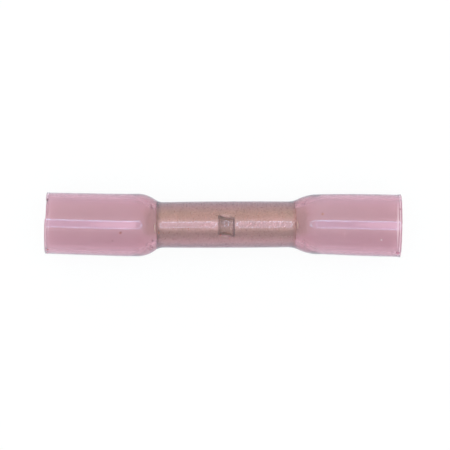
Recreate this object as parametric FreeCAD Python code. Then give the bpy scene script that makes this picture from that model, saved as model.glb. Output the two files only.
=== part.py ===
"""Heat shrink butt connector for 0.5 to 1.5 mm2 wires, in millimetres.

Three pieces on one axis, X:
  crimp_barrel         tinned copper tube with a wire stop punched into its middle
  heat_shrink_sleeve   translucent jacket, shrunk tight on the barrel and wide at both mouths
  adhesive_lining      hot-melt layer inside the jacket, from one mouth to the other

The origin is the middle of the barrel, on its axis. +X runs to the right-hand mouth and +Z points up.
The connector lies on its two wide mouths, and its underside has a narrow flat where they touch down.
"""

import FreeCAD, Part

import math
import os
from dataclasses import dataclass

from FreeCAD import Placement, Rotation, Vector

# Crimp barrel
BARREL_LENGTH = 14.84
BARREL_RADIUS = 1.75
WIRE_BORE_RADIUS = 0.90
COUNTERSINK = 0.30
BARREL_EDGE_ROUND = 0.12

# Wire stop: the punched pocket, and the pinched passage that it leaves of the bore
POCKET_LENGTH = 1.62
POCKET_WIDTH = 2.10
POCKET_DEPTH = 1.00
POCKET_CORNER = 0.34
POCKET_DRAFT_DEG = 9.0
POCKET_FLOOR_ROUND = 0.16
POCKET_RIM_BREAK = 0.14
STOP_ROLL_DEG = 4.5
STOP_WALL = 0.55
STOP_RAMP = 0.60
PASSAGE_WIDTH = 1.60
PASSAGE_FLOOR_RISE = 0.05
SADDLE_DEPTH = 0.10
SADDLE_RADIUS = 12.0

# Sleeve: the walls on the barrel, the bore of the mouths, and the length over all
SLEEVE_LENGTH = 37.06
SLEEVE_SHIFT = -0.275
NECK_WALL_MIDDLE = 0.68
LINING_WALL_ON_BARREL = 0.23
MOUTH_BORE_RADIUS = 2.75
LINING_WALL_AT_MOUTH = 0.13
LINING_RECESS = 0.20
BEND_RADIUS = 30.0
BEND_CLEARANCE = 0.05
LIP_LENGTH = 0.70
DISH_DEPTH = 0.20
DISH_RADIUS = 4.5
REST_HEIGHT = 3.23

# Left-hand end of the sleeve
LEFT_NECK_BACK = 0.84
LEFT_NECK_WALL = 0.63
LEFT_SHOULDER_WALL = 0.525
LEFT_MOUTH_WALL = 0.44
LEFT_BELL_SWELL = 0.005
LEFT_HOLLOW = 1.35
LEFT_ROUND = 3.13
LEFT_TILT_DEG = 1.60
LEFT_CUT_SLANT_DEG = 2.1
LEFT_LIP_FLARE = 0.03

# Right-hand end of the sleeve
RIGHT_NECK_BACK = 0.96
RIGHT_NECK_WALL = 0.645
RIGHT_SHOULDER_WALL = 0.375
RIGHT_MOUTH_WALL = 0.49
RIGHT_BELL_SWELL = 0.050
RIGHT_HOLLOW = 2.35
RIGHT_ROUND = 4.63
RIGHT_TILT_DEG = 1.54
RIGHT_CUT_SLANT_DEG = -1.0
RIGHT_LIP_FLARE = 0.08

# How far cutting blocks and unfinished ends run past the pieces
OVERRUN = 1.0

X = Vector(1, 0, 0)
Y = Vector(0, 1, 0)
Z = Vector(0, 0, 1)


@dataclass
class SleeveEnd:
    """One end of the sleeve. side is -1 on the left and +1 on the right, and distances run outward."""

    side: int
    neck_back: float
    neck_wall: float
    shoulder_wall: float
    mouth_wall: float
    swell: float
    hollow: float
    rounding: float
    tilt_deg: float
    slant_deg: float
    flare: float

    def neck_end(self):
        """Where the straight neck ends and the shoulder starts to rise, a little short of the barrel end."""
        return BARREL_LENGTH / 2 - self.neck_back

    def mouth(self):
        """Where the sleeve is cut off."""
        return SLEEVE_LENGTH / 2 + self.side * SLEEVE_SHIFT

    def bend(self):
        """Where the bell starts to turn off the barrel's axis: just past the longest of the shoulders."""
        arcs = [self.outside(), self.interface(), self.inside()]
        return self.neck_end() + max(shoulder_length(*arc[1:]) for arc in arcs) + BEND_CLEARANCE

    def layer(self, neck_radius, bell_radius):
        """(neck radius, rise, hollow arc, rounding arc) of a surface that runs evenly inside the outside."""
        inward_at_neck = BARREL_RADIUS + self.neck_wall - neck_radius
        inward_at_bell = MOUTH_BORE_RADIUS + self.shoulder_wall - bell_radius
        rise = bell_radius - neck_radius
        return neck_radius, rise, self.hollow + inward_at_neck, self.rounding - inward_at_bell

    def outside(self):
        return self.layer(BARREL_RADIUS + self.neck_wall, MOUTH_BORE_RADIUS + self.shoulder_wall)

    def interface(self):
        return self.layer(BARREL_RADIUS + LINING_WALL_ON_BARREL, MOUTH_BORE_RADIUS + LINING_WALL_AT_MOUTH)

    def inside(self):
        return self.layer(BARREL_RADIUS, MOUTH_BORE_RADIUS)

    def bend_centre(self):
        """The vertical axis about which the bend turns."""
        return Vector(self.side * self.bend(), -self.side * BEND_RADIUS, 0)

    def bell_place(self):
        """The turn and shift that carry a bell drawn along X to the far side of the bend."""
        turn = Rotation(Z, -self.tilt_deg)
        start = self.bend_centre() + turn.multVec(Vector(0, self.side * BEND_RADIUS, 0))
        return Placement(start, turn)

    def bell_length(self):
        """From the bend to the cut, along the bell's own axis."""
        start = abs(self.bell_place().Base.x)
        return (self.mouth() - start) / math.cos(math.radians(self.tilt_deg))


LEFT = SleeveEnd(-1, LEFT_NECK_BACK, LEFT_NECK_WALL, LEFT_SHOULDER_WALL, LEFT_MOUTH_WALL,
                 LEFT_BELL_SWELL, LEFT_HOLLOW, LEFT_ROUND, LEFT_TILT_DEG, LEFT_CUT_SLANT_DEG, LEFT_LIP_FLARE)
RIGHT = SleeveEnd(1, RIGHT_NECK_BACK, RIGHT_NECK_WALL, RIGHT_SHOULDER_WALL, RIGHT_MOUTH_WALL,
                  RIGHT_BELL_SWELL, RIGHT_HOLLOW, RIGHT_ROUND, RIGHT_TILT_DEG, RIGHT_CUT_SLANT_DEG,
                  RIGHT_LIP_FLARE)


def shoulder_angle(rise, hollow, rounding):
    """The steepest slope of a shoulder made of a hollow arc and a rounding arc that meet in a tangent."""
    return math.acos(1 - rise / (hollow + rounding))


def shoulder_length(rise, hollow, rounding):
    return (hollow + rounding) * math.sin(shoulder_angle(rise, hollow, rounding))


def arc(first, middle, last):
    return Part.Arc(first, middle, last).toShape()


def shoulder_edges(end, neck_radius, rise, hollow, rounding):
    """The profile from the neck's end to the bend: a hollow arc, a rounding arc and a short straight run."""
    steepest = shoulder_angle(rise, hollow, rounding)
    top = end.neck_end() + shoulder_length(rise, hollow, rounding)

    def on_hollow(turn):
        out = end.neck_end() + hollow * math.sin(turn)
        return Vector(end.side * out, 0, neck_radius + hollow * (1 - math.cos(turn)))

    def on_rounding(turn):
        out = top - rounding * math.sin(turn)
        return Vector(end.side * out, 0, neck_radius + rise - rounding * (1 - math.cos(turn)))

    return [
        arc(on_hollow(0), on_hollow(steepest / 2), on_hollow(steepest)),
        arc(on_hollow(steepest), on_rounding(steepest / 2), on_rounding(0)),
        Part.makeLine(on_rounding(0), Vector(end.side * end.bend(), 0, neck_radius + rise)),
    ]


def revolved(edges, first, last):
    """Closes a profile down to the X axis at its two end points, and turns it once round that axis."""
    foot_first = Vector(first.x, 0, 0)
    foot_last = Vector(last.x, 0, 0)
    closing = [
        Part.makeLine(foot_first, first),
        Part.makeLine(last, foot_last),
        Part.makeLine(foot_last, foot_first),
    ]
    wire = Part.Wire(Part.__sortEdges__(edges + closing))
    return Part.Face(wire).revolve(Vector(), X, 360)


def middle_form(neck_edges, left_layer, right_layer):
    """The neck and both shoulders of one surface, as a solid of revolution between the two bends."""
    edges = shoulder_edges(LEFT, *left_layer) + neck_edges + shoulder_edges(RIGHT, *right_layer)
    first = Vector(-LEFT.bend(), 0, left_layer[0] + left_layer[1])
    last = Vector(RIGHT.bend(), 0, right_layer[0] + right_layer[1])
    return revolved(edges, first, last)


def bend_form(end, radius):
    """A disc across the axis, swept round the bend."""
    disc = Part.Face(Part.Wire([Part.Circle(Vector(end.side * end.bend(), 0, 0), X, radius).toShape()]))
    return disc.revolve(end.bend_centre(), Z * -1, end.tilt_deg)


def bell_form(end):
    """The bell's outside past the bend: a cone in two slopes, and a lip that flares at the cut."""
    shoulder_radius = MOUTH_BORE_RADIUS + end.shoulder_wall
    lip_radius = MOUTH_BORE_RADIUS + end.mouth_wall
    lip = end.bell_length() - LIP_LENGTH

    def point(out, up):
        return Vector(end.side * out, 0, up)

    first = point(0, shoulder_radius)
    swell = point(lip / 2, (shoulder_radius + lip_radius) / 2 + end.swell)
    last = point(end.bell_length() + OVERRUN, lip_radius + end.flare)
    edges = [
        Part.makeLine(first, swell),
        Part.makeLine(swell, point(lip, lip_radius)),
        arc(point(lip, lip_radius), point(lip + LIP_LENGTH / 2, lip_radius + end.flare / 4),
            point(end.bell_length(), lip_radius + end.flare)),
        Part.makeLine(point(end.bell_length(), lip_radius + end.flare), last),
    ]
    bell = revolved(edges, first, last)
    bell.Placement = end.bell_place()
    return bell


def bore_form(end, radius):
    """A round bore along the bell's own axis, from the bend to past the cut."""
    bore = Part.makeCylinder(radius, end.bell_length() + OVERRUN, Vector(), X * end.side)
    bore.Placement = end.bell_place().multiply(bore.Placement)
    return bore


def outer_form():
    """The outside of the sleeve as one solid, longer than the sleeve at both ends."""
    left = LEFT.outside()
    right = RIGHT.outside()
    crown = Vector(0, 0, BARREL_RADIUS + NECK_WALL_MIDDLE)
    neck = [
        Part.makeLine(Vector(-LEFT.neck_end(), 0, left[0]), crown),
        Part.makeLine(crown, Vector(RIGHT.neck_end(), 0, right[0])),
    ]
    solid = middle_form(neck, left, right)
    for end in (LEFT, RIGHT):
        solid = solid.fuse([bend_form(end, MOUTH_BORE_RADIUS + end.shoulder_wall), bell_form(end)])
    return solid.removeSplitter()


def inner_form(left, right):
    """A surface inside the sleeve as one solid: straight neck, two shoulders, and two tilted round bores."""
    neck = [Part.makeLine(Vector(-LEFT.neck_end(), 0, left[0]), Vector(RIGHT.neck_end(), 0, right[0]))]
    solid = middle_form(neck, left, right)
    for end, layer in ((LEFT, left), (RIGHT, right)):
        bell_radius = layer[0] + layer[1]
        solid = solid.fuse([bend_form(end, bell_radius), bore_form(end, bell_radius)])
    return solid.removeSplitter()


def cut_block(end, recess):
    """The block that cuts the sleeve off on a slight slant, set back by recess from the mouth."""
    size = 4 * REST_HEIGHT
    slant = math.radians(end.slant_deg)
    normal = Vector(end.side * math.cos(slant), math.sin(slant), 0)
    block = Part.makeBox(size, size, 3 * OVERRUN, Vector(-size / 2, -size / 2, 0))
    block.Placement = Placement(end.bell_place().multVec(X * end.side * (end.bell_length() - recess)),
                                Rotation(Z, normal))
    return block


def roller(crown, depth, radius):
    """A cylinder laid across the top at x = 0: it takes a shallow saddle of that depth out of the crown."""
    return Part.makeCylinder(radius, 2 * crown, Vector(0, -crown, crown - depth + radius), Y)


def resting_block():
    """What the underside loses where the connector lies."""
    return Part.makeBox(SLEEVE_LENGTH + 4 * OVERRUN, 4 * REST_HEIGHT, REST_HEIGHT,
                        Vector(-SLEEVE_LENGTH / 2 - 2 * OVERRUN, -2 * REST_HEIGHT, -2 * REST_HEIGHT))


def heat_shrink_sleeve():
    """The jacket: outside less the lining's outside, with the dip over the stop and the resting flats."""
    solid = outer_form().cut(inner_form(LEFT.interface(), RIGHT.interface()))
    solid = solid.cut(roller(BARREL_RADIUS + NECK_WALL_MIDDLE, DISH_DEPTH, DISH_RADIUS))
    solid = solid.cut(resting_block())
    return solid.cut([cut_block(LEFT, 0), cut_block(RIGHT, 0)])


def adhesive_lining():
    """The hot-melt layer: against the jacket all over, and gripping the barrel between the neck's ends."""
    barrel = Part.makeCylinder(BARREL_RADIUS, BARREL_LENGTH, Vector(-BARREL_LENGTH / 2, 0, 0), X)
    solid = inner_form(LEFT.interface(), RIGHT.interface())
    solid = solid.cut(inner_form(LEFT.inside(), RIGHT.inside())).cut(barrel)
    return solid.cut([cut_block(LEFT, LINING_RECESS), cut_block(RIGHT, LINING_RECESS)])


def rounded_rectangle(length, width, corner, z):
    """A closed outline at height z, straight along X and Y, with arcs at its corners."""
    half_length = length / 2
    half_width = width / 2
    nip = corner * (1 - math.sqrt(0.5))
    edges = []
    starts = []
    for turn in range(4):
        swap = turn % 2
        along = half_width if swap else half_length
        across = half_length if swap else half_width
        place = Rotation(Z, 90 * turn)
        start = place.multVec(Vector(along, across - corner, z))
        middle = place.multVec(Vector(along - nip, across - nip, z))
        last = place.multVec(Vector(along - corner, across, z))
        edges.append(arc(start, middle, last))
        starts.append((start, last))
    for turn in range(4):
        edges.append(Part.makeLine(starts[turn][1], starts[(turn + 1) % 4][0]))
    return Part.Wire(Part.__sortEdges__(edges))


def punch():
    """The wire stop's pocket: a drafted block with rounded corners and nose, rolled a little about X."""
    top = BARREL_RADIUS + POCKET_RIM_BREAK
    floor = BARREL_RADIUS - POCKET_DEPTH
    draw = 2 * math.tan(math.radians(POCKET_DRAFT_DEG)) * (top - floor)
    mouth = rounded_rectangle(POCKET_LENGTH, POCKET_WIDTH, POCKET_CORNER, top)
    nose = rounded_rectangle(POCKET_LENGTH - draw, POCKET_WIDTH - draw, POCKET_CORNER, floor)
    block = Part.makeLoft([nose, mouth], True, True)
    nose_edges = [edge for edge in block.Edges if edge.CenterOfMass.z < floor + POCKET_FLOOR_ROUND / 10]
    block = block.makeFillet(POCKET_FLOOR_ROUND, nose_edges)
    block.rotate(Vector(), X, STOP_ROLL_DEG)
    return block


def oval(x, middle, half_width, half_height):
    """A closed ellipse across X, centred at height middle and wider than it is high."""
    centre = Vector(x, 0, middle)
    curve = Part.Ellipse(centre + Y * half_width, centre + Z * half_height, centre)
    return Part.Wire([curve.toShape()])


def stop_passage():
    """What the stop leaves of the bore: an oval passage, with ramps back to the round bore each side."""
    top = BARREL_RADIUS - POCKET_DEPTH - STOP_WALL
    bottom = PASSAGE_FLOOR_RISE - WIRE_BORE_RADIUS
    middle = (top + bottom) / 2
    half_height = (top - bottom) / 2
    solids = []
    near = []
    for side in (-1, 1):
        pinched = oval(side * POCKET_LENGTH / 2, middle, PASSAGE_WIDTH / 2, half_height)
        circle = Part.Circle(Vector(side * (POCKET_LENGTH / 2 + STOP_RAMP), 0, 0), X, WIRE_BORE_RADIUS)
        circle.XAxis = Y
        solids.append(Part.makeLoft([pinched, Part.Wire([circle.toShape()])], True, True))
        near.append(pinched)
    solid = Part.makeLoft(near, True, True).fuse(solids)
    solid.rotate(Vector(), X, STOP_ROLL_DEG)
    return solid


def crimp_barrel():
    """The tinned copper tube: rounded outer edges, countersunk wire bores, and the wire stop between."""
    half = BARREL_LENGTH / 2
    solid = Part.makeCylinder(BARREL_RADIUS, BARREL_LENGTH, Vector(-half, 0, 0), X)
    rims = [edge for edge in solid.Edges if edge.BoundBox.XLength < BARREL_EDGE_ROUND]
    solid = solid.makeFillet(BARREL_EDGE_ROUND, rims)
    blind = POCKET_LENGTH / 2 + STOP_RAMP
    for side in (-1, 1):
        inner_end = Vector(side * blind, 0, 0)
        bore = Part.makeCylinder(WIRE_BORE_RADIUS, half - blind + OVERRUN, inner_end, X * side)
        countersink = Part.makeCone(WIRE_BORE_RADIUS + COUNTERSINK, WIRE_BORE_RADIUS, COUNTERSINK,
                                    Vector(side * half, 0, 0), X * -side)
        solid = solid.cut([bore, countersink])
    solid = solid.cut(stop_passage())
    saddle = roller(BARREL_RADIUS, SADDLE_DEPTH, SADDLE_RADIUS)
    saddle.rotate(Vector(), X, STOP_ROLL_DEG)
    return solid.cut([saddle, punch()])


def main():
    pieces = {
        "crimp_barrel": crimp_barrel(),
        "heat_shrink_sleeve": heat_shrink_sleeve(),
        "adhesive_lining": adhesive_lining(),
    }
    os.makedirs("parts", exist_ok=True)
    for name, piece in pieces.items():
        solid = piece.Solids[0]
        box = solid.optimalBoundingBox()
        print(name, len(piece.Solids), "solid", "valid" if solid.isValid() else "broken",
              "volume %.2f" % solid.Volume, "faces", len(solid.Faces),
              "x %.2f %.2f" % (box.XMin, box.XMax), "y %.2f %.2f" % (box.YMin, box.YMax),
              "z %.2f %.2f" % (box.ZMin, box.ZMax))
        solid.exportStep("parts/%s.step" % name)


main()
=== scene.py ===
"""A heat shrink butt connector: tinned copper barrel, hot-melt lining and clear pink shrink sleeve."""

import math

import bpy
import numpy as np
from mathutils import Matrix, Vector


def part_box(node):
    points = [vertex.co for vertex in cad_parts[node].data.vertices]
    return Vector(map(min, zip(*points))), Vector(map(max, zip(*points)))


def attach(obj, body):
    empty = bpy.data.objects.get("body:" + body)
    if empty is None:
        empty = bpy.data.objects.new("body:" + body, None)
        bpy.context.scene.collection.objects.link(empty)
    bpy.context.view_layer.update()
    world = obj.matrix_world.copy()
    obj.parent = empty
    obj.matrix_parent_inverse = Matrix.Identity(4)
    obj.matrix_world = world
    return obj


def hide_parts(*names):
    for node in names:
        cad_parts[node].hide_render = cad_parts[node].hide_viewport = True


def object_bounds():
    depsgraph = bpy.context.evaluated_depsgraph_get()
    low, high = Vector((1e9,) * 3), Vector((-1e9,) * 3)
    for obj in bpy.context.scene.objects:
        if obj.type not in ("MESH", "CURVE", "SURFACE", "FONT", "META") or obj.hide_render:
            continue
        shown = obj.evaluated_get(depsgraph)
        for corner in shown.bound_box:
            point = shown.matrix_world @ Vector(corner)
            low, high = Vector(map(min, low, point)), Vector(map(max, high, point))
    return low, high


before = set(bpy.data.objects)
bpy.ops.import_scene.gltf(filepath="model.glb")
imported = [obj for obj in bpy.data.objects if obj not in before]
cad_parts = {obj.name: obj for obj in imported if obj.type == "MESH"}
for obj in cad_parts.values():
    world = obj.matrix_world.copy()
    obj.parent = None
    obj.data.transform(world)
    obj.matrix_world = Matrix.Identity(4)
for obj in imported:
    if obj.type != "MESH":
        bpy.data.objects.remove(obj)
cad_low, cad_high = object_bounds()

# The crimp barrel
# A length of copper tube, tinned dull and faintly grainy, with rounded ends and a countersunk bore.
# A rectangular punch has pressed the wire stop into its middle from above, and rolled the pocket's lips in.

MM = 0.001
barrel_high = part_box("crimp_barrel")[1]
BARREL_HALF = barrel_high[0]
BARREL_RADIUS = barrel_high[2]
BORE_RADIUS = 0.90 * MM
EDGE_ROUND = 0.12 * MM
COUNTERSINK = 0.30 * MM
NEAR_STOP = 1.9 * MM
STOP_ROLL = math.radians(4.5)
POCKET_PLACE = 0.05 * MM
POCKET_HALF = np.array([0.88, 0.84]) * MM
POCKET_MIDDLE = np.array([0.30, 0.80]) * MM
POCKET_CORNER = 0.14 * MM
POCKET_SHIFT = 0.04 * MM
POCKET_SKEW = 0.15
POCKET_WALL = np.array([0.12, 0.26]) * MM
POCKET_EASE = 1.3
POCKET_LIP = 1.44 * MM
LIP_FALL = 78.0
POCKET_FLOOR = 0.85 * MM
POCKET_TILT = 0.24
FLOOR_DISH = 0.10 * MM
STOP_CEILING = 0.20 * MM
CEILING_DISH = 0.06 * MM
STOP_RAMP = 0.70 * MM
WALLS_BARED = 4.5


def smooth(low, high, value):
    """A ramp from 0 at low to 1 at high that starts and ends level: 3 t squared less 2 t cubed."""
    t = np.clip((value - low) / (high - low), 0.0, 1.0)
    return t * t * (3.0 - 2.0 * t)


def waves(seed, count, shortest, longest, *coordinates):
    """A smooth random height: sine waves of random length, direction and phase, added up and divided by the
    square root of their count."""
    rng = np.random.default_rng(seed)
    total = np.zeros(np.broadcast(*coordinates).shape)
    for _ in range(count):
        direction = rng.normal(size=len(coordinates))
        direction *= 2.0 * math.pi / (np.linalg.norm(direction) * rng.uniform(shortest, longest))
        along = sum(d * c for d, c in zip(direction, coordinates))
        total += np.sin(along + rng.uniform(0.0, 2.0 * math.pi))
    return total / math.sqrt(count)


def make_piece(name, points, faces):
    """Puts points and the faces between them into the scene as one piece, shaded smooth."""
    mesh = bpy.data.meshes.new(name)
    mesh.from_pydata(points, [], faces)
    mesh.polygons.foreach_set("use_smooth", np.ones(len(faces), bool))
    mesh.update()
    piece = bpy.data.objects.new(name, mesh)
    bpy.context.scene.collection.objects.link(piece)
    return piece


def wrapped_piece(name, x, y, z):
    """Skins a grid of points that closes on itself both ways: each point joins its next neighbours
    along and across. The faces are turned outwards."""
    rows, columns = x.shape
    index = np.arange(rows * columns).reshape(rows, columns)
    right = np.roll(index, -1, axis=1)
    up = np.roll(index, -1, axis=0)
    across = np.roll(up, -1, axis=1)
    quads = np.stack([index, up, across, right], axis=-1).reshape(-1, 4)
    points = np.stack([x, y, z], axis=-1).reshape(-1, 3)
    corner = points[quads]
    fan = np.cross(corner[:, 1] - corner[:, 0], corner[:, 2] - corner[:, 0])
    if np.einsum("ij,ij->", fan, corner[:, 0]) < 0.0:
        quads = quads[:, ::-1]
    return make_piece(name, points, quads)


def give_attribute(piece, name, value):
    """Stores one number for each point of a piece, for its material to read."""
    attribute = piece.data.attributes.new(name, "FLOAT", "POINT")
    attribute.data.foreach_set("value", np.ascontiguousarray(value, np.float32).ravel())


def quarter(x, r, radius, start, stop, count):
    """Points of an arc in the (x, r) plane about a centre, from one angle to another, in degrees."""
    angle = np.radians(np.linspace(start, stop, count))
    return x + radius * np.cos(angle), r + radius * np.sin(angle)


def barrel_profile():
    """The wall's section above the axis as one closed loop: outside, rounded edge, face, countersink,
    bore, and back. Its points stand close together near the wire stop."""
    near = np.linspace(-1.0, 1.0, 161) * NEAR_STOP
    far = np.linspace(NEAR_STOP, BARREL_HALF - EDGE_ROUND, 16)[1:-1]
    outside = np.concatenate([-far[::-1], near, far])
    edge_x, edge_r = quarter(BARREL_HALF - EDGE_ROUND, BARREL_RADIUS - EDGE_ROUND, EDGE_ROUND, 90, 0, 7)
    face_r = np.linspace(BARREL_RADIUS - EDGE_ROUND, BORE_RADIUS + COUNTERSINK, 6)[1:]
    face_x = np.full_like(face_r, BARREL_HALF)
    sink_x = np.linspace(BARREL_HALF, BARREL_HALF - COUNTERSINK, 5)[1:]
    sink_r = np.linspace(BORE_RADIUS + COUNTERSINK, BORE_RADIUS, 5)[1:]
    end_x = np.concatenate([edge_x, face_x, sink_x])
    end_r = np.concatenate([edge_r, face_r, sink_r])
    bore_far = np.linspace(BARREL_HALF - COUNTERSINK, NEAR_STOP, 12)[1:-1]
    bore = np.concatenate([bore_far, near[::-2], -bore_far[::-1]])
    x = np.concatenate([outside, end_x, bore, -end_x[::-1]])
    r = np.concatenate([np.full_like(outside, BARREL_RADIUS), end_r,
                        np.full_like(bore, BORE_RADIUS), end_r[::-1]])
    return x, r


def around(count, gather):
    """Angles from the top round the tube, drawn closer together at the top: a turn less a sine of it."""
    turn = np.linspace(0.0, 2.0 * math.pi, count, endpoint=False)
    return turn - gather * np.sin(turn)


def crimp_barrel():
    """Turns the section round X, then presses the stop: heights sink to the pocket's floor by a power
    of the way in from a rounded rectangle that is wider at its two ends. The lips beside it are rolled
    down to a parabola, and the bore's roof blends down to the stop's ceiling over a longer rectangle.
    The attribute "bared" is 1 on the sawn ends, where the tin is gone, and up to a half on the pocket's
    walls, where it is torn."""
    profile_x, profile_r = barrel_profile()
    angle = around(224, gather=0.55)
    x = np.repeat(profile_x[:, None], len(angle), axis=1)
    across = profile_r[:, None] * np.sin(angle)
    height = profile_r[:, None] * np.cos(angle)
    is_outside = profile_r[:, None] > (BARREL_RADIUS + BORE_RADIUS) / 2.0
    way_x = (np.abs(x - POCKET_PLACE) - POCKET_HALF[0]) / POCKET_WALL[0]
    middle = 1.0 - smooth(*POCKET_MIDDLE, np.abs(x - POCKET_PLACE))
    half = POCKET_HALF[1] + POCKET_CORNER * (1.0 - middle)
    way_y = (np.abs(across + POCKET_SKEW * x + POCKET_SHIFT) - half) / POCKET_WALL[1]
    reach = np.hypot(np.maximum(way_x + 1.0, 0.0), np.maximum(way_y + 1.0, 0.0))
    pressed = np.where(height > 0.0, np.maximum(1.0 - reach, 0.0) ** POCKET_EASE, 0.0)
    lip = np.minimum(height, POCKET_LIP - LIP_FALL * across ** 2)
    height += is_outside * middle * (lip - height)
    floor = POCKET_FLOOR + FLOOR_DISH * (across / POCKET_HALF[1]) ** 2 + POCKET_TILT * (x - POCKET_PLACE)
    outside = height + pressed * (floor - height)
    ramp = 1.0 - smooth(POCKET_HALF[0], POCKET_HALF[0] + STOP_RAMP, np.abs(x))
    ceiling = np.minimum(height, STOP_CEILING + CEILING_DISH * (across / BORE_RADIUS) ** 2)
    inside = height + ramp * (ceiling - height)
    height = np.where(is_outside, outside, inside)
    y = across * math.cos(STOP_ROLL) - height * math.sin(STOP_ROLL)
    z = across * math.sin(STOP_ROLL) + height * math.cos(STOP_ROLL)
    piece = wrapped_piece("tinned_barrel", x, y, z)
    walls = WALLS_BARED * np.maximum(pressed - 0.3, 0.0) * (1.0 - pressed) * is_outside
    ends = smooth(BARREL_HALF - 1.3 * EDGE_ROUND, BARREL_HALF - 0.6 * EDGE_ROUND, np.abs(x))
    give_attribute(piece, "bared", np.minimum(np.maximum(walls, ends), 1.0))
    return piece


class Finish:
    """A material under construction: its Principled shader, and short ways to add and join nodes."""

    def __init__(self, name):
        self.material = bpy.data.materials.new(name)
        self.material.use_nodes = True
        self.tree = self.material.node_tree
        self.shader = self.tree.nodes["Principled BSDF"]
        self.output = self.tree.nodes["Material Output"]
        self.place = self.tree.nodes.new("ShaderNodeTexCoord").outputs["Object"]

    def node(self, kind, inputs=(), **settings):
        """Adds one node, with its settings, and with its sockets linked or set."""
        made = self.tree.nodes.new("ShaderNode" + kind)
        for key, value in settings.items():
            setattr(made, key, value)
        for key, value in dict(inputs).items():
            self.put(made.inputs[key], value)
        return made

    def put(self, socket, value):
        """Links the socket to another node's output, or sets it."""
        if isinstance(value, bpy.types.NodeSocket):
            self.tree.links.new(value, socket)
        else:
            socket.default_value = value

    def noise(self, scale, detail=2.0, roughness=0.5):
        """Soft noise in 0 to 1 on the object's own place, scale in lumps a metre."""
        return self.node("TexNoise", {"Vector": self.place, "Scale": scale, "Detail": detail,
                                      "Roughness": roughness}).outputs[0]

    def ramp(self, factor, *stops):
        """A colour or grey ramp. Each stop is (position, colour)."""
        made = self.node("ValToRGB", {"Fac": factor})
        elements = made.color_ramp.elements
        while len(elements) < len(stops):
            elements.new(0.5)
        for element, (position, colour) in zip(elements, stops):
            element.position = position
            element.color = (*colour, 1.0) if len(colour) == 3 else colour
        return made.outputs[0]

    def math(self, operation, first, second=0.0):
        """One step of arithmetic on one or two numbers."""
        return self.node("Math", {0: first, 1: second}, operation=operation).outputs[0]

    def blend(self, share, first, second, kind="MIX"):
        """Two colours blended: the first at share 0, the second (or the product of both) at 1."""
        made = self.node("Mix", data_type="RGBA", blend_type=kind)
        for socket, value in zip((0, 6, 7), (share, first, second)):
            self.put(made.inputs[socket], value)
        return made.outputs[2]

    def bump(self, height, strength, distance):
        """The surface's normal, bent as if a height of 1 stood out by the distance."""
        return self.node("Bump", {"Height": height, "Strength": strength, "Distance": distance}).outputs[0]

    def depth(self, colour, density):
        """Plain absorption in the body: light dims by density times one less the colour, per metre."""
        body = self.node("VolumeAbsorption", {"Color": (*colour, 1.0), "Density": density})
        self.put(self.output.inputs["Volume"], body.outputs[0])

    def set(self, **inputs):
        """Links or sets the shader's own sockets, with an underscore for each space of their names."""
        for key, value in inputs.items():
            self.put(self.shader.inputs[key.replace("_", " ")], value)


def tinned_copper():
    """Dull tin over copper: fine grain in its colour, roughness and height, faint warmer patches,
    shade painted darker down the flanks by height, and bare copper where the attribute says so."""
    tin = Finish("tinned_copper")
    patches = tin.noise(900.0, 3.0)
    grain = tin.noise(5000.0, 3.0, 0.7)
    warm = tin.ramp(patches, (0.35, (0.88, 0.92, 0.79)), (0.65, (0.94, 0.97, 0.87)))
    speckle = tin.ramp(grain, (0.40, (0.92, 0.89, 0.86)), (0.58, (1.0, 1.0, 1.0)))
    # Painted shade: the tin's colour is darkened by height, from the top down the flanks.
    height = tin.node("SeparateXYZ", {0: tin.place}).outputs["Z"]
    share_of_height = tin.node("MapRange", {"Value": height, "From Min": 0.0, "From Max": BARREL_RADIUS}).outputs[0]
    painted_flank_shade = tin.ramp(share_of_height, (0.05, (0.64, 0.66, 0.64)), (0.45, (0.88, 0.89, 0.84)),
                      (0.75, (0.94, 0.98, 0.90)), (0.96, (1.0, 1.0, 1.0)))
    colour = tin.blend(1.0, tin.blend(1.0, warm, speckle, "MULTIPLY"), painted_flank_shade, "MULTIPLY")
    bared = tin.node("Attribute", attribute_name="bared").outputs["Fac"]
    tin.set(Base_Color=tin.blend(bared, colour, (0.90, 0.50, 0.36, 1.0)), Metallic=1.0)
    tin.set(Roughness=tin.ramp(grain, (0.35, (0.24, 0.24, 0.24)), (0.65, (0.44, 0.44, 0.44))))
    tin.set(Normal=tin.bump(grain, 1.0, 0.040 * MM))
    return tin.material


barrel = crimp_barrel()
barrel.data.materials.append(tinned_copper())
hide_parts("crimp_barrel")
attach(barrel, "root")

# The shrink sleeve
# A clear pink polyolefin tube, expanded, cut off with a knife and shrunk over the barrel in its middle.
# Its ends keep their width, lean a little off the barrel's axis and flare at the rough-cut lips.

REST_HEIGHT = -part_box("heat_shrink_sleeve")[0][2]
NECK_END = np.array([6.58, 6.46]) * MM
NECK_RADIUS = np.array([2.38, 2.395]) * MM
NECK_RADIUS_MIDDLE = 2.43 * MM
SHOULDER_RADIUS = np.array([3.275, 3.125]) * MM
LIP_RADIUS = np.array([3.19, 3.24]) * MM
HOLLOW = np.array([1.35, 2.35]) * MM
ROUNDING = np.array([3.13, 4.63]) * MM
SWELL = np.array([0.005, 0.050]) * MM
FLARE = np.array([0.03, 0.08]) * MM
LIP_LENGTH = 0.70 * MM
MOUTH = np.array([18.805, 18.255]) * MM
BEND = np.array([10.9, 10.5]) * MM
BEND_SOFTNESS = 0.45 * MM
LEAN = np.radians([1.75, 1.54])
CUT_SLANT = np.radians([2.1, -1.0])
LINING_RADIUS_NECK = 1.98 * MM
LINING_RADIUS_MOUTH = 2.88 * MM
LIP_EDGE = 0.05 * MM
SADDLE_DEPTH = 0.32 * MM
SADDLE_PLACE = 0.05 * MM
SADDLE_HALF_LENGTH = 1.50 * MM
SADDLE_NOSE = 0.22
SADDLE_HALF_ANGLE = 0.86
SADDLE_TURN = 0.12
SADDLE_SHARE_UNDER = 0.6
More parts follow.
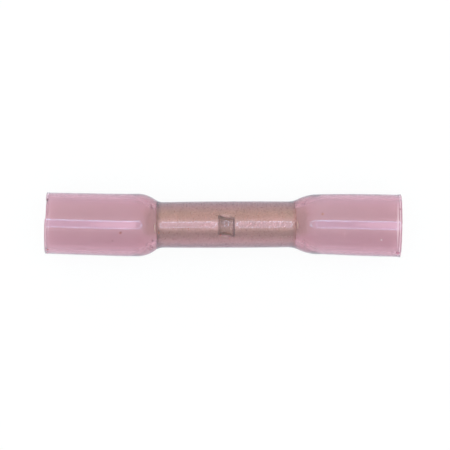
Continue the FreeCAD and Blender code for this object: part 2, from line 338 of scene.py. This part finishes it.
SHOULDER_FROM = np.array([6.3, 7.2]) * MM
SHOULDER_TO = np.array([8.2, 9.6]) * MM
WAVE_HEIGHT = 0.0014 * MM
WRINKLE_HEIGHT = 0.008 * MM
SLOW_MARKS = 0.014 * MM
QUICK_MARKS = 0.016 * MM
LEDGE = 0.085 * MM
LAYER_STATIONS = 250
LAYER_ANGLES = 180
TUBE_IOR = 1.5


def by_side(x, pair):
    """The left-hand or the right-hand value of a pair, by the sign of x."""
    return np.where(x < 0.0, pair[0], pair[1])


def from_top(angle):
    """An angle measured either way from the top, between minus and plus half a turn."""
    return (angle + math.pi) % (2.0 * math.pi) - math.pi


def shoulder_rise(out, rise, hollow, rounding):
    """Height above the neck, out past the neck's end: a hollow arc, then a rounding arc that meets it
    and ends level. Each is its radius less the circle's height there."""
    steepest = np.arccos(1.0 - rise / (hollow + rounding))
    turn = hollow * np.sin(steepest)
    length = (hollow + rounding) * np.sin(steepest)
    early = hollow - np.sqrt(np.maximum(hollow ** 2 - np.clip(out, 0.0, turn) ** 2, 0.0))
    late = rise - rounding + np.sqrt(np.maximum(rounding ** 2 - np.clip(length - out, 0.0, None) ** 2, 0.0))
    return np.where(out < turn, early, late), length


def outline(x):
    """The sleeve's outside: a parabolic belly over the stop, the shoulder's arcs, a cone with a
    parabolic swelling and a lip that flares by the square of the way along it."""
    out = np.abs(x)
    neck_end = by_side(x, NECK_END)
    neck = by_side(x, NECK_RADIUS)
    shoulder = by_side(x, SHOULDER_RADIUS)
    belly = (NECK_RADIUS_MIDDLE - neck) * (1.0 - np.minimum(out / neck_end, 1.0) ** 2)
    rise, length = shoulder_rise(out - neck_end, shoulder - neck, by_side(x, HOLLOW), by_side(x, ROUNDING))
    start = neck_end + length
    along = np.clip((out - start) / (by_side(x, MOUTH) - start), 0.0, 1.0)
    cone = (by_side(x, LIP_RADIUS) - shoulder) * along + 4.0 * by_side(x, SWELL) * along * (1.0 - along)
    flare = by_side(x, FLARE) * np.clip(1.0 - (by_side(x, MOUTH) - out) / LIP_LENGTH, 0.0, None) ** 2
    return neck + belly + rise + cone + flare


def saddle(x, angle):
    """The dent over the wire stop: nearly straight flanks and a rounded bottom along X, the power 1.5
    of what a hyperbola leaves of 1, times a bell curve round the neck."""
    way_out = np.hypot((x - SADDLE_PLACE) / SADDLE_HALF_LENGTH, SADDLE_NOSE)
    along = np.maximum(1.0 - way_out, 0.0) ** 1.5
    return along * np.exp(-(from_top(angle + SADDLE_TURN) / SADDLE_HALF_ANGLE) ** 2)


def outside(x, angle):
    """The outline, less the saddle, with long soft waves."""
    soft = waves(5, 14, 2.2, 7.0, x / MM, 2.6 * np.cos(angle), 2.6 * np.sin(angle))
    return outline(x) - SADDLE_DEPTH * saddle(x, angle) + WAVE_HEIGHT * soft


def interface(x, angle):
    """Where jacket and lining meet: straight on the neck, shoulder arcs that run evenly under the
    outline, and the round bore, less a shallower saddle, with fine wrinkles on the shoulders."""
    neck_end = by_side(x, NECK_END)
    hollow = by_side(x, HOLLOW) + by_side(x, NECK_RADIUS) - LINING_RADIUS_NECK
    rounding = by_side(x, ROUNDING) - by_side(x, SHOULDER_RADIUS) + LINING_RADIUS_MOUTH
    whole_rise = LINING_RADIUS_MOUTH - LINING_RADIUS_NECK
    rise, _ = shoulder_rise(np.abs(x) - neck_end, whole_rise, hollow, rounding)
    wrinkles = waves(11, 18, 0.35, 1.3, x / MM, 2.2 * np.cos(angle), 2.2 * np.sin(angle))
    dent = SADDLE_SHARE_UNDER * SADDLE_DEPTH * saddle(x, angle)
    return LINING_RADIUS_NECK + rise - dent + on_shoulder(x) * WRINKLE_HEIGHT * wrinkles


def on_shoulder(x):
    """1 on the shoulders, fading out towards the neck and the bells."""
    return smooth(*SHOULDER_FROM, np.abs(x)) * (1.0 - smooth(*SHOULDER_TO, np.abs(x)))


def lean_offset(x):
    """How far the leaning ends carry the middle line off the barrel's axis: the slope times the way
    past the bend, whose corner is softened by the logarithm of one plus an exponential of that way."""
    past = np.abs(x) - by_side(x, BEND)
    corner = np.minimum(past, 4.0 * BEND_SOFTNESS) / BEND_SOFTNESS
    eased = np.where(past > 4.0 * BEND_SOFTNESS, past, BEND_SOFTNESS * np.log1p(np.exp(corner)))
    return -np.sign(x) * np.tan(by_side(x, LEAN)) * eased


def stations(count, recess):
    """Places along X from lip to lip, closer together over the stop, on the shoulders and at the lips:
    equal steps of a running sum of how crowded they should be."""
    x = np.linspace(-MOUTH[0] + recess + LIP_EDGE, MOUTH[1] - recess - LIP_EDGE, 4001)
    out = np.abs(x)
    crowd = 1.0 + 2.0 * np.exp(-((out / MM - 7.9) / 1.2) ** 2) + 1.2 * np.exp(-(x / MM / 1.4) ** 2)
    crowd += np.exp(-(by_side(x, MOUTH) - out) / (0.4 * MM))
    run = np.cumsum(crowd)
    return np.interp(np.linspace(run[0], run[-1], count), run, x)


def cut_on_slant(x, y, recess, rough):
    """Slides the ends along X onto the slanted, uneven cuts. The shift dies out towards the bend."""
    end = by_side(x, MOUTH) - recess
    near_cut = smooth(0.35, 1.0, (np.abs(x) - by_side(x, BEND)) / (end - by_side(x, BEND)))
    shift = rough - (y - lean_offset(x)) * np.tan(by_side(x, CUT_SLANT))
    return x + np.sign(x) * near_cut * shift


def sleeve_layer(name, outer, inner, recess, rough):
    """A tube wall as one closed loop carried round X: outer(x, angle), rounded lip, inner(x, angle),
    and back. The lips get the second material slot."""
    x_out = stations(LAYER_STATIONS, recess)
    lip = np.linspace(0.0, 1.0, 6)[1:-1]
    bulge = LIP_EDGE * np.sin(np.pi * lip) ** 0.5
    x = np.concatenate([x_out, x_out[-1] + bulge, x_out[::-1], x_out[0] - bulge])[:, None]
    inward = np.concatenate([np.zeros(len(x_out)), lip, np.ones(len(x_out)), lip[::-1]])[:, None]
    angle = around(LAYER_ANGLES, gather=0.25)[None, :]
    radius = outer(x, angle) * (1.0 - inward) + inner(x, angle) * inward
    y = radius * np.sin(angle) + lean_offset(x)
    z = np.maximum(radius * np.cos(angle), -REST_HEIGHT)
    grid_x = cut_on_slant(x + 0.0 * y, y, recess, rough(x, angle))
    piece = wrapped_piece(name, grid_x, y, z)
    is_cut = (inward > 0.0) & (inward < 1.0)
    is_cut |= np.roll(is_cut, -1, axis=0)
    slots = np.repeat(is_cut, LAYER_ANGLES, axis=1).astype(np.int32)
    piece.data.polygons.foreach_set("material_index", slots.ravel())
    return piece


def knife_marks(x, angle):
    """How far the cut falls short of its plane: slow and quick waves round the lip, and on the left a ledge
    where the knife was set back."""
    other = np.where(x < 0.0, 0.0, 1.7)
    slow = 0.5 + 0.25 * np.sin(3.0 * angle + 0.6 + other) + 0.25 * np.sin(7.0 * angle + 2.1 * other)
    quick = 0.5 + 0.5 * np.sin(23.0 * angle + other) * np.sin(5.0 * angle + 1.1)
    up = from_top(angle)
    ledge = np.where(x < 0.0, smooth(0.12, 0.16, up) * (1.0 - smooth(0.86, 0.95, up)), 0.0)
    return -(SLOW_MARKS * slow + QUICK_MARKS * quick + LEDGE * ledge)


def clear_pink():
    """Glossy clear polyolefin, a little milky, coloured partly in its skin and partly in its depth."""
    pink = Finish("clear_pink_shrink")
    cloud = pink.noise(260.0, 3.0)
    pink.set(Base_Color=pink.ramp(cloud, (0.3, (0.940, 0.728, 0.804)), (0.7, (0.960, 0.756, 0.826))))
    pink.set(Transmission_Weight=0.97, IOR=TUBE_IOR, Roughness=0.05)
    pink.set(Sheen_Weight=0.13, Sheen_Roughness=0.75, Sheen_Tint=(0.50, 0.64, 1.0, 1.0))
    peel = pink.noise(2300.0, 2.0, 0.5)
    pink.set(Normal=pink.bump(peel, 0.05, 0.004 * MM))
    pink.depth((0.72, 0.0, 0.22), 300.0)
    return pink.material


def cut_pink():
    """The knife's frosted cut: rosier and duller than the tube, with drag lines along it."""
    cut = Finish("cut_pink_shrink")
    drag = cut.noise(5000.0, 2.0, 0.6)
    cut.set(Base_Color=cut.ramp(drag, (0.3, (0.62, 0.33, 0.40)), (0.7, (0.74, 0.44, 0.52))))
    cut.set(Transmission_Weight=0.45, IOR=TUBE_IOR, Roughness=0.45)
    cut.set(Normal=cut.bump(drag, 0.5, 0.02 * MM))
    return cut.material


jacket = sleeve_layer("shrink_jacket", outside, interface, 0.0, knife_marks)
jacket.data.materials.append(clear_pink())
jacket.data.materials.append(cut_pink())
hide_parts("heat_shrink_sleeve")
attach(jacket, "root")

# The adhesive lining
# Hot-melt glue drawn as a thin film inside the jacket, soft and slightly cloudy. It wets the barrel along
# the neck, fills the pocket of the wire stop, and stands in a fillet round each end of the barrel.

LINING_RECESS = 0.20 * MM
LINING_BORE = 2.75 * MM
WETTED = 0.006 * MM
FILLET_START = 7.34 * MM
FILLET_HOLLOW = np.array([1.20, 1.50]) * MM
FILLET_ROUNDING = np.array([3.20, 3.80]) * MM
UNEVEN_FROM = np.array([7.5, 8.2]) * MM
UNEVEN_WAVES = 0.0007 * MM
UNEVEN_FOLDS = 0.015 * MM
FILL_ALONG = np.array([0.95, 1.15]) * MM
FILL_ACROSS = np.array([1.32, 1.46]) * MM
FILL_BOTTOM = 0.50 * MM
# Where the painted tan reflection of the barrel's ends lies in the glue: along X, across Y, and its middle.
PAINTED_TAN_FADE = np.array([8.6, 7.3]) * MM
PAINTED_TAN_PLACE = 0.4 * MM
PAINTED_TAN_HALF = np.array([1.9, 1.1]) * MM


def bore(x, angle):
    """The lining's inside: on the barrel's skin, off it in a long fillet and out to the round bore.
    Over the wire stop it sinks under the pocket's floor, so that the glue fills the pocket."""
    out = np.abs(x)
    grip = BARREL_RADIUS - WETTED
    rise, _ = shoulder_rise(out - FILLET_START, LINING_BORE - grip,
                            by_side(x, FILLET_HOLLOW), by_side(x, FILLET_ROUNDING))
    soft = waves(12, 12, 2.0, 6.0, x / MM, 2.6 * np.cos(angle), 2.6 * np.sin(angle))
    folds = waves(13, 18, 0.5, 1.6, x / MM, 2.2 * np.cos(angle), 2.2 * np.sin(angle))
    uneven = smooth(*UNEVEN_FROM, out) * (UNEVEN_WAVES * soft + UNEVEN_FOLDS * folds * on_shoulder(x))
    rolled = from_top(angle) - STOP_ROLL
    across = BARREL_RADIUS * np.abs(np.sin(rolled))
    over_stop = (1.0 - smooth(*FILL_ALONG, out)) * (1.0 - smooth(*FILL_ACROSS, across))
    sunk = (grip - FILL_BOTTOM) * over_stop * (np.cos(rolled) > 0.0)
    return grip + rise + uneven - sunk


def hot_melt():
    """Cloudy pinkish glue, with a tan reflection of the barrel's ends painted into it round their middle.
    """
    glue = Finish("hot_melt_film")
    cloud = glue.noise(700.0, 4.0)
    pale = glue.ramp(cloud, (0.3, (0.96, 0.93, 0.93)), (0.7, (0.98, 0.96, 0.95)))
    # Painted reflection: the tan of the barrel's ends as seen through the glue, put in its colour over a
    # band of X and Y.
    tan = glue.ramp(cloud, (0.3, (0.74, 0.71, 0.58)), (0.7, (0.84, 0.80, 0.68)))
    place = glue.node("SeparateXYZ", {0: glue.place}).outputs
    out = glue.math("ABSOLUTE", place["X"])
    across = glue.math("ABSOLUTE", glue.math("SUBTRACT", place["Y"], PAINTED_TAN_PLACE))
    painted_tan_fades = [glue.node("MapRange", {"Value": way, "From Min": none, "From Max": full}).outputs[0]
             for way, (none, full) in ((out, PAINTED_TAN_FADE), (across, PAINTED_TAN_HALF))]
    glue.set(Base_Color=glue.blend(glue.math("MULTIPLY", *painted_tan_fades), pale, tan))
    glue.set(Transmission_Weight=0.98, IOR=1.34, Roughness=0.10)
    glue.set(Normal=glue.bump(cloud, 0.02, 0.02 * MM))
    glue.depth((0.6, 0.2, 0.0), 150.0)
    return glue.material


lining = sleeve_layer("glue_lining", lambda x, angle: interface(x, angle) + WETTED, bore, LINING_RECESS,
                      lambda x, angle: 0.5 * knife_marks(x, angle))
glue = hot_melt()
lining.data.materials.append(glue)
lining.data.materials.append(glue)
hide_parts("adhesive_lining")
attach(lining, "root")

# The creases and painted lines
# Fine folds of the glue film and the tube's inner skin, where the tube shrank down over the barrel's ends:
# dark and rosy. Round the wire stop, four dark lines are painted shade along the pocket's edges, and two
# peach streaks by the barrel's ends are painted highlights. A few hairline scratches in the bells.

# Each row: the x and y of its start, middle point and end as they show from above, and its radius, all
# in millimetres, then its share of the way out through the wall.
# The first four rows, round the wire stop, are dark lines painted as the shade along the pocket's edges.
CREASES = np.array([
    [-0.60, 1.00, 0.00, 0.74, 0.84, 0.60, 0.026, 0.0],
    [-0.76, -0.98, -0.10, -1.22, 0.66, -1.32, 0.030, 0.0],
    [-0.70, 0.95, -0.76, 0.00, -0.72, -1.00, 0.018, 0.0],
    [0.84, 0.60, 0.86, -0.10, 0.72, -1.26, 0.024, 0.0],
    [-7.48, 2.14, -7.51, 1.60, -7.50, 1.03, 0.034, 0.0],
    [-7.96, 2.17, -7.90, 2.10, -7.84, 2.00, 0.080, 0.3],
    [-7.90, 2.00, -7.85, 1.93, -7.81, 1.84, 0.075, 0.3],
    [-7.86, 1.80, -7.81, 1.73, -7.78, 1.64, 0.075, 0.3],
    [-7.80, 2.64, -7.68, 2.56, -7.57, 2.46, 0.075, 0.4],
    [-7.36, 2.12, -7.33, 2.03, -7.36, 1.94, 0.070, 0.3],
    [-7.79, -1.60, -7.75, -1.68, -7.70, -1.78, 0.075, 0.3],
    [-7.96, -2.26, -7.84, -2.36, -7.77, -2.48, 0.080, 0.3],
    [-8.18, -2.52, -8.05, -2.58, -7.93, -2.67, 0.080, 0.3],
    [7.83, 2.68, 7.91, 2.63, 7.97, 2.56, 0.050, 0.1],
    [8.50, 2.66, 8.43, 2.62, 8.37, 2.54, 0.050, 0.1],
    [8.20, 2.26, 8.20, 2.20, 8.17, 2.12, 0.045, 0.0],
    [7.26, 2.40, 7.30, 2.34, 7.33, 2.27, 0.055, 0.1],
    [8.63, 1.24, 8.58, 1.08, 8.49, 0.96, 0.030, 0.0],
    [7.87, -2.09, 7.86, -2.14, 7.82, -2.20, 0.040, 0.0],
    [7.81, -2.40, 7.98, -2.50, 8.14, -2.66, 0.040, 0.1],
    [17.90, 1.02, 17.49, 0.86, 17.17, 0.50, 0.018, 0.8],
    [16.68, -2.29, 16.90, -2.42, 17.06, -2.61, 0.018, 0.8],
    [-12.12, 0.78, -12.10, 0.63, -12.08, 0.50, 0.014, 0.8]])
# Painted highlights: two peach streaks beside the barrel's ends, in place of the lamps' glint on its
# rounded edges.
PAINTED_GLINTS = np.array([
    [-7.47, 0.20, -7.53, -0.25, -7.42, -0.85, 0.090, 0.6],
    [7.50, 0.35, 7.54, 0.00, 7.50, -0.45, 0.070, 0.6]])
LOOSE_CREASES = 56
TOP_SPREAD = 0.992


def strands(name, middles, widths, sides=10):
    """Skins many small closed worms at once: each middle line carries rings square to it, whose radius
    is the width there, and a pole half a width further out closes either end."""
    count, steps, _ = middles.shape
    along = np.gradient(middles, axis=1)
    along /= np.linalg.norm(along, axis=2, keepdims=True)
    beside = np.cross(along, middles * (0.0, 1.0, 1.0))
    beside /= np.linalg.norm(beside, axis=2, keepdims=True)
    above = np.cross(beside, along)
    turn = np.linspace(0.0, 2.0 * math.pi, sides, endpoint=False)[:, None]
    rings = middles[:, :, None] + widths[:, :, None, None] * (beside[:, :, None] * np.cos(turn)
                                                              + above[:, :, None] * np.sin(turn))
    poles = middles[:, [0, -1]] + along[:, [0, -1]] * widths[:, [0, -1], None] * np.array([[-0.5], [0.5]])
    points = np.concatenate([rings.reshape(count, -1, 3), poles], axis=1)
    first = (np.arange(count) * points.shape[1])[:, None, None]
    ring = np.arange(steps * sides).reshape(steps, sides)
    onward = np.roll(ring, -1, axis=1)
    quads = np.stack([ring[:-1], onward[:-1], onward[1:], ring[1:]], axis=-1).reshape(-1, 4)
    start = np.stack([ring[0], np.full(sides, steps * sides), onward[0]], axis=-1)
    stop = np.stack([onward[-1], np.full(sides, steps * sides + 1), ring[-1]], axis=-1)
    faces = (first + quads).reshape(-1, 4).tolist()
    faces += (first + np.concatenate([start, stop])).reshape(-1, 3).tolist()
    return make_piece(name, points.reshape(-1, 3), faces)


def inside_wall(x, y, share):
    """The point of the wall, its share of the way from the lining to the outside, that shows at (x, y)
    from above. The tube's top is nearer the lens and shows larger, so both shrink first. The sight line
    bends at the tube's skin: the sine of its angle is divided by the refractive index."""
    x = x * TOP_SPREAD
    across = y * TOP_SPREAD - lean_offset(x)
    skin = outline(x)
    meets = np.arcsin(np.clip(across / skin, -0.98, 0.98))
    bent = np.arcsin(np.sin(meets) / TUBE_IOR)
    inner = interface(x, meets)
    radius = inner + share * (skin - inner)
    angle = meets - bent + np.arcsin(np.clip(skin * np.sin(bent) / radius, -1.0, 1.0))
    return x, angle


def wall_point(x, angle, share):
    """A point of the sleeve's wall, from the lining's skin at share 0 to the outside at share 1."""
    radius = interface(x, angle) + share * (outside(x, angle) - interface(x, angle))
    return np.stack([x, radius * np.sin(angle) + lean_offset(x), radius * np.cos(angle)], axis=-1)


def creases_and_painted_lines():
    """The creases, the painted shade lines and the painted highlights seen in front, as parabolas drawn
    towards their middle points, and short loose ones scattered by chance round both shoulders. Each swells
    by the root of a sine."""
    t = np.linspace(0.0, 1.0, 15)
    drawn = np.concatenate([CREASES, PAINTED_GLINTS]).T[:, :, None]
    x0, y0, x1, y1, x2, y2, width = drawn[:-1] * MM
    share = drawn[-1]
    x = x0 * (1.0 - t) ** 2 + 2.0 * x1 * t * (1.0 - t) + x2 * t ** 2
    y = y0 * (1.0 - t) ** 2 + 2.0 * y1 * t * (1.0 - t) + y2 * t ** 2
    x, angle = inside_wall(x, y, share)
    rng = np.random.default_rng(31)
    count = LOOSE_CREASES
    out = rng.uniform(7.5, 8.8, (count, 1)) * MM
    middle = rng.uniform(0.75, 2.0 * math.pi - 0.75, (count, 1))
    length = rng.uniform(0.06, 0.30, (count, 1)) * MM
    heading = rng.normal(0.5, 0.3, (count, 1))
    bend = rng.normal(0.0, 0.25, (count, 1)) * (t - 0.5) ** 2
    side = np.where(np.arange(count) % 2, 1.0, -1.0)[:, None]
    loose_x = side * (out + length * (np.cos(heading) * (t - 0.5) + bend))
    loose_angle = middle + length * (np.sin(heading) * (t - 0.5) + bend) / (2.4 * MM)
    x = np.concatenate([x, loose_x])
    angle = np.concatenate([angle, loose_angle])
    share = np.concatenate([share, np.full((count, 1), 0.02)])
    width = np.concatenate([width, rng.uniform(0.014, 0.030, (count, 1)) * MM])
    return wall_point(x, angle, share), width * np.sqrt(np.sin(math.pi * (0.03 + 0.94 * t)))


def fold_rose_and_glint():
    """The shaded rose of a fold seen edge on, uneven in depth, and a painted peach highlight where the
    attribute "pale" is 1."""
    rose = Finish("rose_fold_and_painted_glint")
    cloud = rose.noise(4000.0, 2.0)
    dark = rose.ramp(cloud, (0.3, (0.54, 0.22, 0.28)), (0.7, (0.66, 0.32, 0.38)))
    # Painted highlight: the peach of the glints, on the worms whose attribute "pale" is 1.
    light = rose.ramp(cloud, (0.3, (1.00, 0.70, 0.50)), (0.7, (1.00, 0.84, 0.66)))
    pale = rose.node("Attribute", attribute_name="pale").outputs["Fac"]
    rose.set(Base_Color=rose.blend(pale, dark, light), Roughness=0.5)
    return rose.material


middles, widths = creases_and_painted_lines()
creases = strands("creases_and_painted_light", middles, widths)
# The attribute "pale" marks the painted highlights.
is_painted_glint = np.zeros(len(middles), bool)
is_painted_glint[len(CREASES):len(CREASES) + len(PAINTED_GLINTS)] = True
give_attribute(creases, "pale", np.repeat(is_painted_glint, len(creases.data.vertices) // len(middles)))
creases.data.materials.append(fold_rose_and_glint())
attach(creases, "root")

# The specks, burrs and a painted glint
# A few grains of dirt and pigment moulded into the tube, crumbs that the knife left standing on its
# cuts, and one orange ball painted as a glint by the left end of the barrel.

# Each row: a grain's x and y as they show from above and its radius, in millimetres, its share of the
# way out through the wall, and its colour.
# The third row is a painted highlight: an orange glint on the barrel's left end, not a grain.
SPECKS = np.array([
    [-0.60, -1.14, 0.075, 0.0, 0.85, 0.32, 0.20],
    [0.41, -1.47, 0.070, 0.0, 0.95, 0.58, 0.34],
    [-7.09, -0.82, 0.120, 0.0, 1.00, 0.60, 0.36],
    [-11.02, -0.82, 0.115, 0.5, 0.90, 0.30, 0.20],
    [-11.87, -1.65, 0.085, 0.7, 0.55, 0.30, 0.28],
    [10.09, 1.05, 0.100, 0.6, 0.90, 0.38, 0.14],
    [16.21, -1.67, 0.080, 0.8, 0.98, 0.95, 0.95],
    [12.35, -1.02, 0.080, 0.8, 0.95, 0.50, 0.60],
    [-18.68, 2.72, 0.095, 0.6, 0.58, 0.26, 0.32],
    [-18.82, -2.45, 0.090, 0.8, 0.44, 0.34, 0.40],
    [-18.72, -2.52, 0.090, 0.9, 0.70, 0.16, 0.16],
    [-18.76, -2.86, 0.130, 0.8, 0.66, 0.30, 0.38],
    [18.18, 1.54, 0.100, 0.8, 0.66, 0.28, 0.36],
    [18.00, -3.04, 0.180, 0.9, 0.64, 0.26, 0.36]])
LOOSE_GRAINS = 40
PIGMENT = (0.50, 0.28, 0.24)


def grains():
    """Small balls, each a worm of rings as far along X as minus the cosine and as wide as the sine of a
    half turn: the ones seen in front, and tiny ones scattered by chance through both bells."""
    x, y, size, share, *colour = SPECKS.T[:, :, None]
    x, angle = inside_wall(x * MM, y * MM, share)
    rng = np.random.default_rng(47)
    count = LOOSE_GRAINS
    side = np.where(np.arange(count) % 2, 1.0, -1.0)[:, None]
    x = np.concatenate([x, side * rng.uniform(8.5, 17.8, (count, 1)) * MM])
    angle = np.concatenate([angle, rng.uniform(0.0, 2.0 * math.pi, (count, 1))])
    share = np.concatenate([share, rng.uniform(0.2, 0.9, (count, 1))])
    size = np.concatenate([size, rng.uniform(0.012, 0.026, (count, 1))]) * MM
    middle = wall_point(x, angle, share)
    half_turn = np.linspace(0.0, math.pi, 13)[1:-1]
    along = np.stack([-np.cos(half_turn), 0.0 * half_turn, 0.0 * half_turn], axis=-1)
    middles = middle + size[:, :, None] * along
    tints = np.concatenate([np.stack(colour, axis=-1)[:, 0], np.tile(PIGMENT, (count, 1))])
    return middles, size * np.sin(half_turn), tints


def crumbs():
    """Each grain in the colour of its own points, roughened."""
    dirt = Finish("specks_crumbs_and_glint")
    own = dirt.node("Attribute", attribute_name="tint").outputs["Color"]
    shade = dirt.ramp(dirt.noise(9000.0, 2.0), (0.3, (0.8, 0.8, 0.8)), (0.7, (1.0, 1.0, 1.0)))
    dirt.set(Base_Color=dirt.blend(1.0, own, shade, "MULTIPLY"), Roughness=0.45)
    return dirt.material


middles, widths, tints = grains()
specks = strands("specks_burrs_and_glint", middles, widths, 12)
tint = specks.data.attributes.new("tint", "FLOAT_COLOR", "POINT")
points_each = len(specks.data.vertices) // len(tints)
colours = np.repeat(np.column_stack([tints, np.ones(len(tints))]), points_each, axis=0)
tint.data.foreach_set("color", colours.astype(np.float32).ravel())
specks.data.materials.append(crumbs())
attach(specks, "root")

# The table and the light
# A plain white table right under the connector, a pale room round it, and a lamp frame about the lens.

CAMERA_HEIGHT = 0.300
VIEW_WIDTH = 47.02 * MM
SENSOR = 36.0
FRAME_PIXELS = 450.0
PIXEL = VIEW_WIDTH / FRAME_PIXELS
ORIGIN_PIXEL = np.array([226.0, 224.6])
VIEW_ROLL = math.radians(-0.25)
TABLE_HALF = 1.5
GLOW_SEEN = 0.92
GLOW_THROUGH = 0.66
GLOW_MIRRORED = 0.4
ROOM_COLOUR = (1.00, 1.05, 1.00, 1.0)
WARM_COLOUR = (1.12, 1.16, 1.00, 1.0)
DARK_TILT = math.radians(72.0)
DARK_REACH = math.radians(46.0)
DARK_CORE = math.radians(12.0)
DARK_LEVEL = 0.58
WARM_TILT = math.radians(50.0)
WARM_REACH = math.radians(45.0)
COOL = (0.36, 0.72, 1.0)
VIOLET = (0.36, 0.38, 1.0)
MILD = (0.95, 0.92, 0.97)


def white_table():
    """A wide square that glows nearly white to the eye, less through the clear sleeve and least in
    reflections. What is left of it is a plain pale surface that takes the connector's shadow."""
    corners = np.array([[-1.0, -1.0], [1.0, -1.0], [1.0, 1.0], [-1.0, 1.0]]) * TABLE_HALF
    table = make_piece("table", np.column_stack([corners, np.full(4, cad_low[2])]), [(0, 1, 2, 3)])
    white = Finish("white_table")
    white.set(Base_Color=(0.95, 0.95, 0.95, 1.0), Roughness=1.0, Specular_IOR_Level=0.0)
    glow = white.node("Emission", {"Color": (1.0, 1.0, 1.0, 1.0), "Strength": 1.0})
    path = white.node("LightPath")
    through = white.math("MULTIPLY", path.outputs["Is Transmission Ray"], GLOW_THROUGH)
    mirrored = white.math("MULTIPLY", path.outputs["Is Glossy Ray"], GLOW_MIRRORED)
    direct = white.math("MULTIPLY", path.outputs["Is Camera Ray"], GLOW_SEEN)
    share = white.math("MAXIMUM", white.math("MAXIMUM", through, mirrored), direct)
    mix = white.node("MixShader", {0: share, 1: white.shader.outputs[0], 2: glow.outputs[0]})
    white.put(white.output.inputs["Surface"], mix.outputs[0])
    table.data.materials.append(white.material)


def room():
    """A pale room, darker in one broad patch low on the near side and warmer in one on the far side.
    The eye sees it plain white."""
    world = bpy.data.worlds.new("room")
    bpy.context.scene.world = world
    world.use_nodes = True
    tree = world.node_tree
    background = tree.nodes["Background"]
    heading = tree.nodes.new("ShaderNodeTexCoord").outputs["Generated"]

    def patch(tilt, reach, core):
        """1 in a round patch of the sky, tilted from straight up towards +Y, fading out by its reach."""
        near = tree.nodes.new("ShaderNodeVectorMath")
        near.operation = "DOT_PRODUCT"
        near.inputs[1].default_value = (0.0, math.sin(tilt), math.cos(tilt))
        tree.links.new(heading, near.inputs[0])
        fade = tree.nodes.new("ShaderNodeMapRange")
        fade.interpolation_type = "SMOOTHSTEP"
        fade.inputs["From Min"].default_value = math.cos(reach)
        fade.inputs["From Max"].default_value = math.cos(core)
        tree.links.new(near.outputs["Value"], fade.inputs["Value"])
        return fade.outputs[0]

    def shade(share, first, second):
        """Two colours mixed by a share."""
        mix = tree.nodes.new("ShaderNodeMix")
        mix.data_type = "RGBA"
        tree.links.new(share, mix.inputs[0])
        for socket, colour in ((6, first), (7, second)):
            if isinstance(colour, tuple):
                mix.inputs[socket].default_value = colour
            else:
                tree.links.new(colour, mix.inputs[socket])
        return mix.outputs[2]

    sky = shade(patch(WARM_TILT, WARM_REACH, 0.0), ROOM_COLOUR, WARM_COLOUR)
    dark = tuple(DARK_LEVEL * value for value in ROOM_COLOUR[:3]) + (1.0,)
    sky = shade(patch(-DARK_TILT, DARK_REACH, DARK_CORE), sky, dark)
    seen = tree.nodes.new("ShaderNodeLightPath").outputs["Is Camera Ray"]
    tree.links.new(shade(seen, sky, (1.0, 1.0, 1.0, 1.0)), background.inputs["Color"])


def lamp(name, x, y, width, depth, radiance, colour, turn=0.0, lift=0.002):
    """A flat lamp just above the lens, facing down. Its power is radiance times area times pi."""
    light = bpy.data.lights.new(name, "AREA")
    light.shape = "RECTANGLE"
    light.size = width
    light.size_y = depth
    light.energy = radiance * width * depth * math.pi
    light.color = colour
    made = bpy.data.objects.new(name, light)
    made.location = (x, y, CAMERA_HEIGHT + lift)
    made.rotation_euler = (0.0, 0.0, turn)
    made.visible_camera = False
    bpy.context.scene.collection.objects.link(made)


white_table()
room()
lamp("lamp_back", 0.0, 0.073, 0.084, 0.020, 5.2, COOL)
lamp("lamp_front", 0.0, -0.075, 0.084, 0.020, 3.5, COOL)
for side, word in ((-1.0, "left"), (1.0, "right")):
    lamp("lamp_" + word, side * 0.082, 0.0, 0.026, 0.070, 6.0, COOL)
    lamp("lamp_back_" + word, side * 0.061, 0.054, 0.056, 0.018, 4.8, COOL, side * math.radians(-45.0))
    lamp("lamp_front_" + word, side * 0.061, -0.056, 0.056, 0.018, 4.0, COOL, side * math.radians(45.0))
lamp("lamp_between", 0.0, 0.0, 0.120, 0.140, 0.65, VIOLET, lift=0.004)
lamp("lamp_wide", 0.0, 0.0, 0.340, 0.330, 0.34, MILD, lift=0.006)

camera_data = bpy.data.cameras.new("camera")
camera_data.sensor_width = SENSOR
camera_data.lens = SENSOR * CAMERA_HEIGHT / VIEW_WIDTH
camera_data.clip_start = 0.01
camera = bpy.data.objects.new("camera", camera_data)
aim = (FRAME_PIXELS / 2.0 - ORIGIN_PIXEL) * PIXEL
camera.location = (aim[0], -aim[1], CAMERA_HEIGHT)
camera.rotation_euler = (0.0, 0.0, VIEW_ROLL)
bpy.context.scene.collection.objects.link(camera)
bpy.context.scene.camera = camera
bpy.context.scene.view_settings.view_transform = "Standard"
